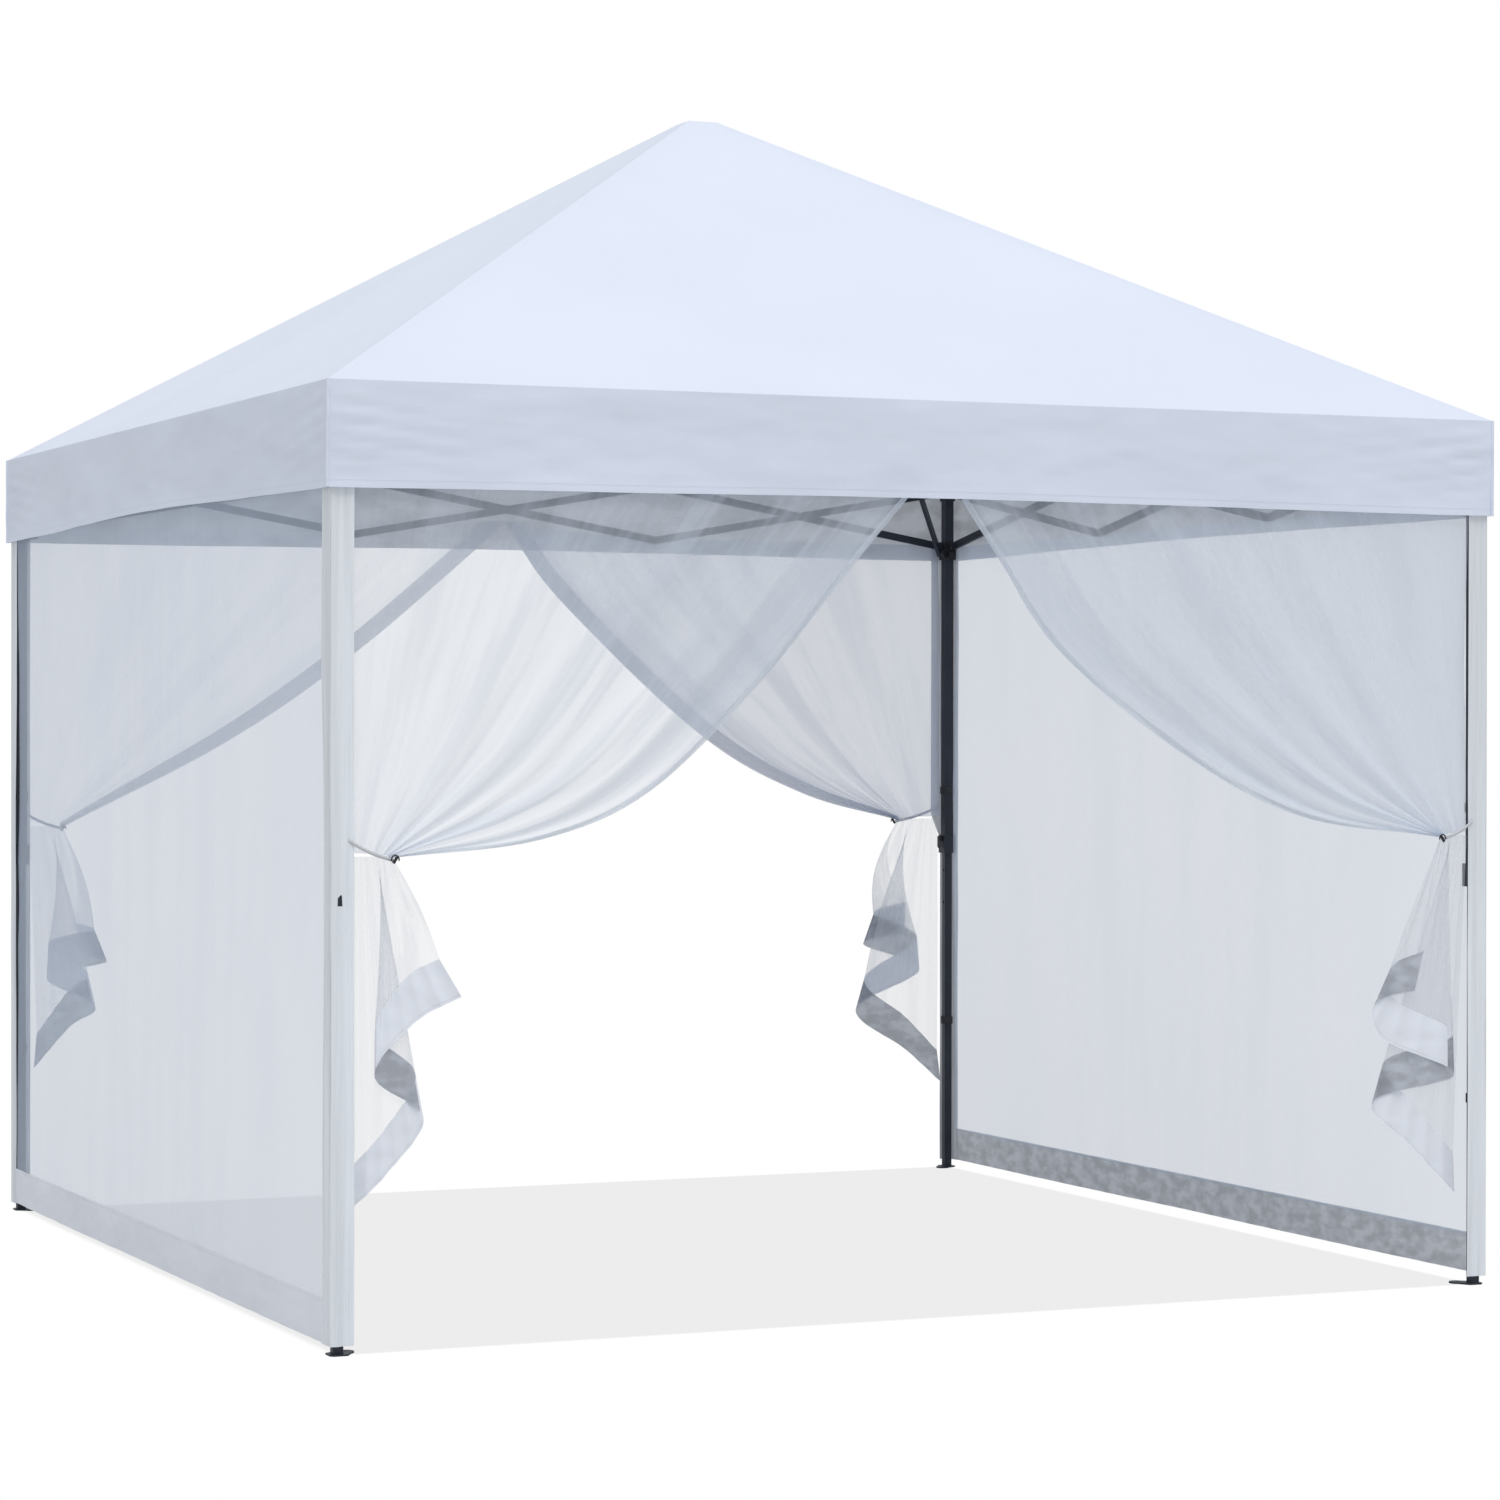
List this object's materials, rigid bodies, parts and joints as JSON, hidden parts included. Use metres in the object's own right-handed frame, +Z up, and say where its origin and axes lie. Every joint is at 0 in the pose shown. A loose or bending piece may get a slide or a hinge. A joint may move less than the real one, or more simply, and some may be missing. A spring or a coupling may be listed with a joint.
{
  "type": "pop up canopy",
  "caption": "Square pop up canopy on four telescoping legs, with a folding truss frame, pyramid cover with valance, and net walls with two doors tied back",
  "frame": {"origin": "centre of the footprint, on the floor", "axes": "+Z up, -Y the front door, +X the right wall seen from the front"},
  "size_m": [3, 3, 2.993],
  "materials": {
    "outer_leg": "dark slate powder coat",
    "inner_leg": "dark slate powder coat",
    "truss_tube": "dark slate powder coat",
    "roof_tube": "dark slate powder coat",
    "moulding": "black nylon",
    "release": "black nylon",
    "cover_cloth": "white coated polyester",
    "net_cloth": "white mosquito net with cloth hems",
    "webbing": "black hook and loop webbing"
  },
  "bodies": {
    "upper_leg_front_left": {"upper_leg_front_left": "outer_leg", "net_walls": "net_cloth", "net_straps": "webbing"},
    "lower_leg_front_left": {"lower_leg_front_left": "inner_leg"},
    "leg_button_front_left": {"leg_button_front_left": "release"},
    "slider_front_left": {"slider_front_left": "moulding"},
    "slider_pin_front_left": {"slider_pin_front_left": "release"},
    "lower_rafter_front_left": {"lower_rafter_front_left": "roof_tube"},
    "upper_rafter_front_left": {"upper_rafter_front_left": "roof_tube"},
    "strut_front_left": {"strut_front_left": "roof_tube"},
    "bar_fall_1_front_left": {"bar_fall_1_front_left": "truss_tube"},
    "bar_fall_2_front_left": {"bar_fall_2_front_left": "truss_tube"},
    "bar_fall_3_front_left": {"bar_fall_3_front_left": "truss_tube"},
    "bar_rise_1_front_left": {"bar_rise_1_front_left": "truss_tube"},
    "bar_rise_2_front_left": {"bar_rise_2_front_left": "truss_tube"},
    "bar_rise_3_front_left": {"bar_rise_3_front_left": "truss_tube"},
    "upper_leg_front_right": {"upper_leg_front_right": "outer_leg"},
    "lower_leg_front_right": {"lower_leg_front_right": "inner_leg"},
    "leg_button_front_right": {"leg_button_front_right": "release"},
    "slider_front_right": {"slider_front_right": "moulding"},
    "slider_pin_front_right": {"slider_pin_front_right": "release"},
    "lower_rafter_front_right": {"lower_rafter_front_right": "roof_tube"},
    "upper_rafter_front_right": {"upper_rafter_front_right": "roof_tube"},
    "strut_front_right": {"strut_front_right": "roof_tube"},
    "bar_fall_1_front_right": {"bar_fall_1_front_right": "truss_tube"},
    "bar_fall_2_front_right": {"bar_fall_2_front_right": "truss_tube"},
    "bar_fall_3_front_right": {"bar_fall_3_front_right": "truss_tube"},
    "bar_rise_1_front_right": {"bar_rise_1_front_right": "truss_tube"},
    "bar_rise_2_front_right": {"bar_rise_2_front_right": "truss_tube"},
    "bar_rise_3_front_right": {"bar_rise_3_front_right": "truss_tube"},
    "upper_leg_rear_right": {"upper_leg_rear_right": "outer_leg"},
    "lower_leg_rear_right": {"lower_leg_rear_right": "inner_leg"},
    "leg_button_rear_right": {"leg_button_rear_right": "release"},
    "slider_rear_right": {"slider_rear_right": "moulding"},
    "slider_pin_rear_right": {"slider_pin_rear_right": "release"},
    "lower_rafter_rear_right": {"lower_rafter_rear_right": "roof_tube"},
    "upper_rafter_rear_right": {"upper_rafter_rear_right": "roof_tube"},
    "strut_rear_right": {"strut_rear_right": "roof_tube"},
    "bar_fall_1_rear_right": {"bar_fall_1_rear_right": "truss_tube"},
    "bar_fall_2_rear_right": {"bar_fall_2_rear_right": "truss_tube"},
    "bar_fall_3_rear_right": {"bar_fall_3_rear_right": "truss_tube"},
    "bar_rise_1_rear_right": {"bar_rise_1_rear_right": "truss_tube"},
    "bar_rise_2_rear_right": {"bar_rise_2_rear_right": "truss_tube"},
    "bar_rise_3_rear_right": {"bar_rise_3_rear_right": "truss_tube"},
    "upper_leg_rear_left": {"upper_leg_rear_left": "outer_leg"},
    "lower_leg_rear_left": {"lower_leg_rear_left": "inner_leg"},
    "leg_button_rear_left": {"leg_button_rear_left": "release"},
    "slider_rear_left": {"slider_rear_left": "moulding"},
    "slider_pin_rear_left": {"slider_pin_rear_left": "release"},
    "lower_rafter_rear_left": {"lower_rafter_rear_left": "roof_tube"},
    "upper_rafter_rear_left": {"upper_rafter_rear_left": "roof_tube"},
    "strut_rear_left": {"strut_rear_left": "roof_tube"},
    "bar_fall_1_rear_left": {"bar_fall_1_rear_left": "truss_tube"},
    "bar_fall_2_rear_left": {"bar_fall_2_rear_left": "truss_tube"},
    "bar_fall_3_rear_left": {"bar_fall_3_rear_left": "truss_tube"},
    "bar_rise_1_rear_left": {"bar_rise_1_rear_left": "truss_tube"},
    "bar_rise_2_rear_left": {"bar_rise_2_rear_left": "truss_tube"},
    "bar_rise_3_rear_left": {"bar_rise_3_rear_left": "truss_tube"},
    "hub": {"hub": "moulding", "roof_cover": "cover_cloth"}
  },
  "joints": [
    {"name": "frame_fold", "type": "hinge", "parent": "upper_leg_front_left", "child": "lower_rafter_front_left", "pos_m": [-1.44318, -1.44318, 2.15295], "axis": [-0.7071, 0.7071, 0], "range_deg": [0, 111.08], "deforming": ["roof_cover", "net_walls", "net_straps"]},
    {"name": "knuckle_front_left", "type": "hinge", "parent": "lower_rafter_front_left", "child": "upper_rafter_front_left", "pos_m": [-0.7428, -0.7428, 2.56071], "axis": [0.7071, -0.7071, 0], "range_deg": [0, 177.9]},
    {"name": "hub_pivot_front_left", "type": "hinge", "parent": "upper_rafter_front_left", "child": "hub", "pos_m": [-0.04243, -0.04243, 2.96846], "axis": [0.7071, -0.7071, 0], "range_deg": [-66.82, 0]},
    {"name": "hub_pivot_front_right", "type": "hinge", "parent": "hub", "child": "upper_rafter_front_right", "pos_m": [0.04243, -0.04243, 2.96846], "axis": [0.7071, 0.7071, 0], "range_deg": [0, 66.82]},
    {"name": "knuckle_front_right", "type": "hinge", "parent": "upper_rafter_front_right", "child": "lower_rafter_front_right", "pos_m": [0.7428, -0.7428, 2.56071], "axis": [0.7071, 0.7071, 0], "range_deg": [-177.9, 0]},
    {"name": "leg_pivot_front_right", "type": "hinge", "parent": "lower_rafter_front_right", "child": "upper_leg_front_right", "pos_m": [1.44318, -1.44318, 2.15295], "axis": [0.7071, 0.7071, 0], "range_deg": [0, 111.58]},
    {"name": "hub_pivot_rear_right", "type": "hinge", "parent": "hub", "child": "upper_rafter_rear_right", "pos_m": [0.04243, 0.04243, 2.96846], "axis": [-0.7071, 0.7071, 0], "range_deg": [0, 66.82]},
    {"name": "knuckle_rear_right", "type": "hinge", "parent": "upper_rafter_rear_right", "child": "lower_rafter_rear_right", "pos_m": [0.7428, 0.7428, 2.56071], "axis": [-0.7071, 0.7071, 0], "range_deg": [-177.9, 0]},
    {"name": "leg_pivot_rear_right", "type": "hinge", "parent": "lower_rafter_rear_right", "child": "upper_leg_rear_right", "pos_m": [1.44318, 1.44318, 2.15295], "axis": [-0.7071, 0.7071, 0], "range_deg": [0, 111.58]},
    {"name": "hub_pivot_rear_left", "type": "hinge", "parent": "hub", "child": "upper_rafter_rear_left", "pos_m": [-0.04243, 0.04243, 2.96846], "axis": [-0.7071, -0.7071, 0], "range_deg": [0, 66.82]},
    {"name": "knuckle_rear_left", "type": "hinge", "parent": "upper_rafter_rear_left", "child": "lower_rafter_rear_left", "pos_m": [-0.7428, 0.7428, 2.56071], "axis": [-0.7071, -0.7071, 0], "range_deg": [-177.9, 0]},
    {"name": "leg_pivot_rear_left", "type": "hinge", "parent": "lower_rafter_rear_left", "child": "upper_leg_rear_left", "pos_m": [-1.44318, 1.44318, 2.15295], "axis": [-0.7071, -0.7071, 0], "range_deg": [0, 111.58]},
    {"name": "truss_start_front_left", "type": "hinge", "parent": "upper_leg_front_left", "child": "bar_fall_1_front_left", "pos_m": [-1.442, -1.475, 2.117], "axis": [0, -1, 0], "range_deg": [-77.74, 0]},
    {"name": "cross_1_front_left", "type": "hinge", "parent": "bar_fall_1_front_left", "child": "bar_rise_1_front_left", "pos_m": [-0.96133, -1.475, 2.034], "axis": [0, -1, 0], "range_deg": [0, 154.98]},
    {"name": "slider_pivot_front_left", "type": "hinge", "parent": "bar_rise_1_front_left", "child": "slider_front_left", "pos_m": [-1.442, -1.475, 1.951], "axis": [0, -1, 0], "range_deg": [-77.74, 0]},
    {"name": "low_joint_1_front_left", "type": "hinge", "parent": "bar_fall_1_front_left", "child": "bar_rise_2_front_left", "pos_m": [-0.48067, -1.475, 1.951], "axis": [0, -1, 0], "range_deg": [0, 154.98]},
    {"name": "cross_2_front_left", "type": "hinge", "parent": "bar_rise_2_front_left", "child": "bar_fall_2_front_left", "pos_m": [0, -1.475, 2.034], "axis": [0, -1, 0], "range_deg": [-154.98, 0]},
    {"name": "top_joint_2_front_left", "type": "hinge", "parent": "bar_rise_2_front_left", "child": "bar_fall_3_front_left", "pos_m": [0.48067, -1.475, 2.117], "axis": [0, -1, 0], "range_deg": [-154.98, 0]},
    {"name": "cross_3_front_left", "type": "hinge", "parent": "bar_fall_3_front_left", "child": "bar_rise_3_front_left", "pos_m": [0.96133, -1.475, 2.034], "axis": [0, -1, 0], "range_deg": [0, 154.98]},
    {"name": "strut_pivot_front_left", "type": "hinge", "parent": "slider_front_left", "child": "strut_front_left", "pos_m": [-1.44318, -1.44318, 1.926], "axis": [0.7071, -0.7071, 0], "range_deg": [0, 45.91]},
    {"name": "truss_start_front_right", "type": "hinge", "parent": "upper_leg_front_right", "child": "bar_fall_1_front_right", "pos_m": [1.475, -1.442, 2.117], "axis": [1, 0, 0], "range_deg": [-77.74, 0]},
    {"name": "cross_1_front_right", "type": "hinge", "parent": "bar_fall_1_front_right", "child": "bar_rise_1_front_right", "pos_m": [1.475, -0.96133, 2.034], "axis": [1, 0, 0], "range_deg": [0, 154.98]},
    {"name": "slider_pivot_front_right", "type": "hinge", "parent": "bar_rise_1_front_right", "child": "slider_front_right", "pos_m": [1.475, -1.442, 1.951], "axis": [1, 0, 0], "range_deg": [-77.74, 0]},
    {"name": "low_joint_1_front_right", "type": "hinge", "parent": "bar_fall_1_front_right", "child": "bar_rise_2_front_right", "pos_m": [1.475, -0.48067, 1.951], "axis": [1, 0, 0], "range_deg": [0, 154.98]},
    {"name": "cross_2_front_right", "type": "hinge", "parent": "bar_rise_2_front_right", "child": "bar_fall_2_front_right", "pos_m": [1.475, 0, 2.034], "axis": [1, 0, 0], "range_deg": [-154.98, 0]},
    {"name": "top_joint_2_front_right", "type": "hinge", "parent": "bar_rise_2_front_right", "child": "bar_fall_3_front_right", "pos_m": [1.475, 0.48067, 2.117], "axis": [1, 0, 0], "range_deg": [-154.98, 0]},
    {"name": "cross_3_front_right", "type": "hinge", "parent": "bar_fall_3_front_right", "child": "bar_rise_3_front_right", "pos_m": [1.475, 0.96133, 2.034], "axis": [1, 0, 0], "range_deg": [0, 154.98]},
    {"name": "strut_pivot_front_right", "type": "hinge", "parent": "slider_front_right", "child": "strut_front_right", "pos_m": [1.44318, -1.44318, 1.926], "axis": [0.7071, 0.7071, 0], "range_deg": [0, 45.91]},
    {"name": "truss_start_rear_right", "type": "hinge", "parent": "upper_leg_rear_right", "child": "bar_fall_1_rear_right", "pos_m": [1.442, 1.475, 2.117], "axis": [0, 1, 0], "range_deg": [-77.74, 0]},
    {"name": "cross_1_rear_right", "type": "hinge", "parent": "bar_fall_1_rear_right", "child": "bar_rise_1_rear_right", "pos_m": [0.96133, 1.475, 2.034], "axis": [0, 1, 0], "range_deg": [0, 154.98]},
    {"name": "slider_pivot_rear_right", "type": "hinge", "parent": "bar_rise_1_rear_right", "child": "slider_rear_right", "pos_m": [1.442, 1.475, 1.951], "axis": [0, 1, 0], "range_deg": [-77.74, 0]},
    {"name": "low_joint_1_rear_right", "type": "hinge", "parent": "bar_fall_1_rear_right", "child": "bar_rise_2_rear_right", "pos_m": [0.48067, 1.475, 1.951], "axis": [0, 1, 0], "range_deg": [0, 154.98]},
    {"name": "cross_2_rear_right", "type": "hinge", "parent": "bar_rise_2_rear_right", "child": "bar_fall_2_rear_right", "pos_m": [0, 1.475, 2.034], "axis": [0, 1, 0], "range_deg": [-154.98, 0]},
    {"name": "top_joint_2_rear_right", "type": "hinge", "parent": "bar_rise_2_rear_right", "child": "bar_fall_3_rear_right", "pos_m": [-0.48067, 1.475, 2.117], "axis": [0, 1, 0], "range_deg": [-154.98, 0]},
    {"name": "cross_3_rear_right", "type": "hinge", "parent": "bar_fall_3_rear_right", "child": "bar_rise_3_rear_right", "pos_m": [-0.96133, 1.475, 2.034], "axis": [0, 1, 0], "range_deg": [0, 154.98]},
    {"name": "strut_pivot_rear_right", "type": "hinge", "parent": "slider_rear_right", "child": "strut_rear_right", "pos_m": [1.44318, 1.44318, 1.926], "axis": [-0.7071, 0.7071, 0], "range_deg": [0, 45.91]},
    {"name": "truss_start_rear_left", "type": "hinge", "parent": "upper_leg_rear_left", "child": "bar_fall_1_rear_left", "pos_m": [-1.475, 1.442, 2.117], "axis": [-1, 0, 0], "range_deg": [-77.74, 0]},
    {"name": "cross_1_rear_left", "type": "hinge", "parent": "bar_fall_1_rear_left", "child": "bar_rise_1_rear_left", "pos_m": [-1.475, 0.96133, 2.034], "axis": [-1, 0, 0], "range_deg": [0, 154.98]},
    {"name": "slider_pivot_rear_left", "type": "hinge", "parent": "bar_rise_1_rear_left", "child": "slider_rear_left", "pos_m": [-1.475, 1.442, 1.951], "axis": [-1, 0, 0], "range_deg": [-77.74, 0]},
    {"name": "low_joint_1_rear_left", "type": "hinge", "parent": "bar_fall_1_rear_left", "child": "bar_rise_2_rear_left", "pos_m": [-1.475, 0.48067, 1.951], "axis": [-1, 0, 0], "range_deg": [0, 154.98]},
    {"name": "cross_2_rear_left", "type": "hinge", "parent": "bar_rise_2_rear_left", "child": "bar_fall_2_rear_left", "pos_m": [-1.475, 0, 2.034], "axis": [-1, 0, 0], "range_deg": [-154.98, 0]},
    {"name": "top_joint_2_rear_left", "type": "hinge", "parent": "bar_rise_2_rear_left", "child": "bar_fall_3_rear_left", "pos_m": [-1.475, -0.48067, 2.117], "axis": [-1, 0, 0], "range_deg": [-154.98, 0]},
    {"name": "cross_3_rear_left", "type": "hinge", "parent": "bar_fall_3_rear_left", "child": "bar_rise_3_rear_left", "pos_m": [-1.475, -0.96133, 2.034], "axis": [-1, 0, 0], "range_deg": [0, 154.98]},
    {"name": "strut_pivot_rear_left", "type": "hinge", "parent": "slider_rear_left", "child": "strut_rear_left", "pos_m": [-1.44318, 1.44318, 1.926], "axis": [-0.7071, -0.7071, 0], "range_deg": [0, 45.91]},
    {"name": "leg_extension_front_left", "type": "slide", "parent": "upper_leg_front_left", "child": "lower_leg_front_left", "axis": [0, 0, 1], "range_m": [0, 0.9]},
    {"name": "button_pull_front_left", "type": "slide", "parent": "upper_leg_front_left", "child": "leg_button_front_left", "axis": [1, 0, 0], "range_m": [0, 0.006], "stiffness_N_per_m": 600},
    {"name": "release_pull_front_left", "type": "slide", "parent": "slider_front_left", "child": "slider_pin_front_left", "axis": [0, 1, 0], "range_m": [0, 0.006], "stiffness_N_per_m": 600},
    {"name": "leg_extension_front_right", "type": "slide", "parent": "upper_leg_front_right", "child": "lower_leg_front_right", "axis": [0, 0, 1], "range_m": [0, 0.9]},
    {"name": "button_pull_front_right", "type": "slide", "parent": "upper_leg_front_right", "child": "leg_button_front_right", "axis": [0, 1, 0], "range_m": [0, 0.006], "stiffness_N_per_m": 600},
    {"name": "release_pull_front_right", "type": "slide", "parent": "slider_front_right", "child": "slider_pin_front_right", "axis": [-1, 0, 0], "range_m": [0, 0.006], "stiffness_N_per_m": 600},
    {"name": "leg_extension_rear_right", "type": "slide", "parent": "upper_leg_rear_right", "child": "lower_leg_rear_right", "axis": [0, 0, 1], "range_m": [0, 0.9]},
    {"name": "button_pull_rear_right", "type": "slide", "parent": "upper_leg_rear_right", "child": "leg_button_rear_right", "axis": [-1, 0, 0], "range_m": [0, 0.006], "stiffness_N_per_m": 600},
    {"name": "release_pull_rear_right", "type": "slide", "parent": "slider_rear_right", "child": "slider_pin_rear_right", "axis": [0, -1, 0], "range_m": [0, 0.006], "stiffness_N_per_m": 600},
    {"name": "leg_extension_rear_left", "type": "slide", "parent": "upper_leg_rear_left", "child": "lower_leg_rear_left", "axis": [0, 0, 1], "range_m": [0, 0.9]},
    {"name": "button_pull_rear_left", "type": "slide", "parent": "upper_leg_rear_left", "child": "leg_button_rear_left", "axis": [0, -1, 0], "range_m": [0, 0.006], "stiffness_N_per_m": 600},
    {"name": "release_pull_rear_left", "type": "slide", "parent": "slider_rear_left", "child": "slider_pin_rear_left", "axis": [1, 0, 0], "range_m": [0, 0.006], "stiffness_N_per_m": 600}
  ],
  "couplings": [
    {"joint": "knuckle_front_left", "follows": "frame_fold", "ratio": 1.5971},
    {"joint": "hub_pivot_front_left", "follows": "frame_fold", "ratio": -0.59711},
    {"joint": "hub_pivot_front_right", "follows": "frame_fold", "ratio": 0.59711},
    {"joint": "knuckle_front_right", "follows": "frame_fold", "ratio": -1.5971},
    {"joint": "leg_pivot_front_right", "follows": "frame_fold", "ratio": 1},
    {"joint": "hub_pivot_rear_right", "follows": "frame_fold", "ratio": 0.59711},
    {"joint": "knuckle_rear_right", "follows": "frame_fold", "ratio": -1.5971},
    {"joint": "leg_pivot_rear_right", "follows": "frame_fold", "ratio": 1},
    {"joint": "hub_pivot_rear_left", "follows": "frame_fold", "ratio": 0.59711},
    {"joint": "knuckle_rear_left", "follows": "frame_fold", "ratio": -1.5971},
    {"joint": "leg_pivot_rear_left", "follows": "frame_fold", "ratio": 1},
    {"joint": "truss_start_front_left", "follows": "frame_fold", "ratio": -0.69539},
    {"joint": "cross_1_front_left", "follows": "frame_fold", "ratio": 1.3908},
    {"joint": "slider_pivot_front_left", "follows": "frame_fold", "ratio": -0.69539},
    {"joint": "low_joint_1_front_left", "follows": "frame_fold", "ratio": 1.3908},
    {"joint": "cross_2_front_left", "follows": "frame_fold", "ratio": -1.3908},
    {"joint": "top_joint_2_front_left", "follows": "frame_fold", "ratio": -1.3908},
    {"joint": "cross_3_front_left", "follows": "frame_fold", "ratio": 1.3908},
    {"joint": "strut_pivot_front_left", "follows": "frame_fold", "ratio": 0.40885},
    {"joint": "truss_start_front_right", "follows": "frame_fold", "ratio": -0.69539},
    {"joint": "cross_1_front_right", "follows": "frame_fold", "ratio": 1.3908},
    {"joint": "slider_pivot_front_right", "follows": "frame_fold", "ratio": -0.69539},
    {"joint": "low_joint_1_front_right", "follows": "frame_fold", "ratio": 1.3908},
    {"joint": "cross_2_front_right", "follows": "frame_fold", "ratio": -1.3908},
    {"joint": "top_joint_2_front_right", "follows": "frame_fold", "ratio": -1.3908},
    {"joint": "cross_3_front_right", "follows": "frame_fold", "ratio": 1.3908},
    {"joint": "strut_pivot_front_right", "follows": "frame_fold", "ratio": 0.40885},
    {"joint": "truss_start_rear_right", "follows": "frame_fold", "ratio": -0.69539},
    {"joint": "cross_1_rear_right", "follows": "frame_fold", "ratio": 1.3908},
    {"joint": "slider_pivot_rear_right", "follows": "frame_fold", "ratio": -0.69539},
    {"joint": "low_joint_1_rear_right", "follows": "frame_fold", "ratio": 1.3908},
    {"joint": "cross_2_rear_right", "follows": "frame_fold", "ratio": -1.3908},
    {"joint": "top_joint_2_rear_right", "follows": "frame_fold", "ratio": -1.3908},
    {"joint": "cross_3_rear_right", "follows": "frame_fold", "ratio": 1.3908},
    {"joint": "strut_pivot_rear_right", "follows": "frame_fold", "ratio": 0.40885},
    {"joint": "truss_start_rear_left", "follows": "frame_fold", "ratio": -0.69539},
    {"joint": "cross_1_rear_left", "follows": "frame_fold", "ratio": 1.3908},
    {"joint": "slider_pivot_rear_left", "follows": "frame_fold", "ratio": -0.69539},
    {"joint": "low_joint_1_rear_left", "follows": "frame_fold", "ratio": 1.3908},
    {"joint": "cross_2_rear_left", "follows": "frame_fold", "ratio": -1.3908},
    {"joint": "top_joint_2_rear_left", "follows": "frame_fold", "ratio": -1.3908},
    {"joint": "cross_3_rear_left", "follows": "frame_fold", "ratio": 1.3908},
    {"joint": "strut_pivot_rear_left", "follows": "frame_fold", "ratio": 0.40885}
  ]
}
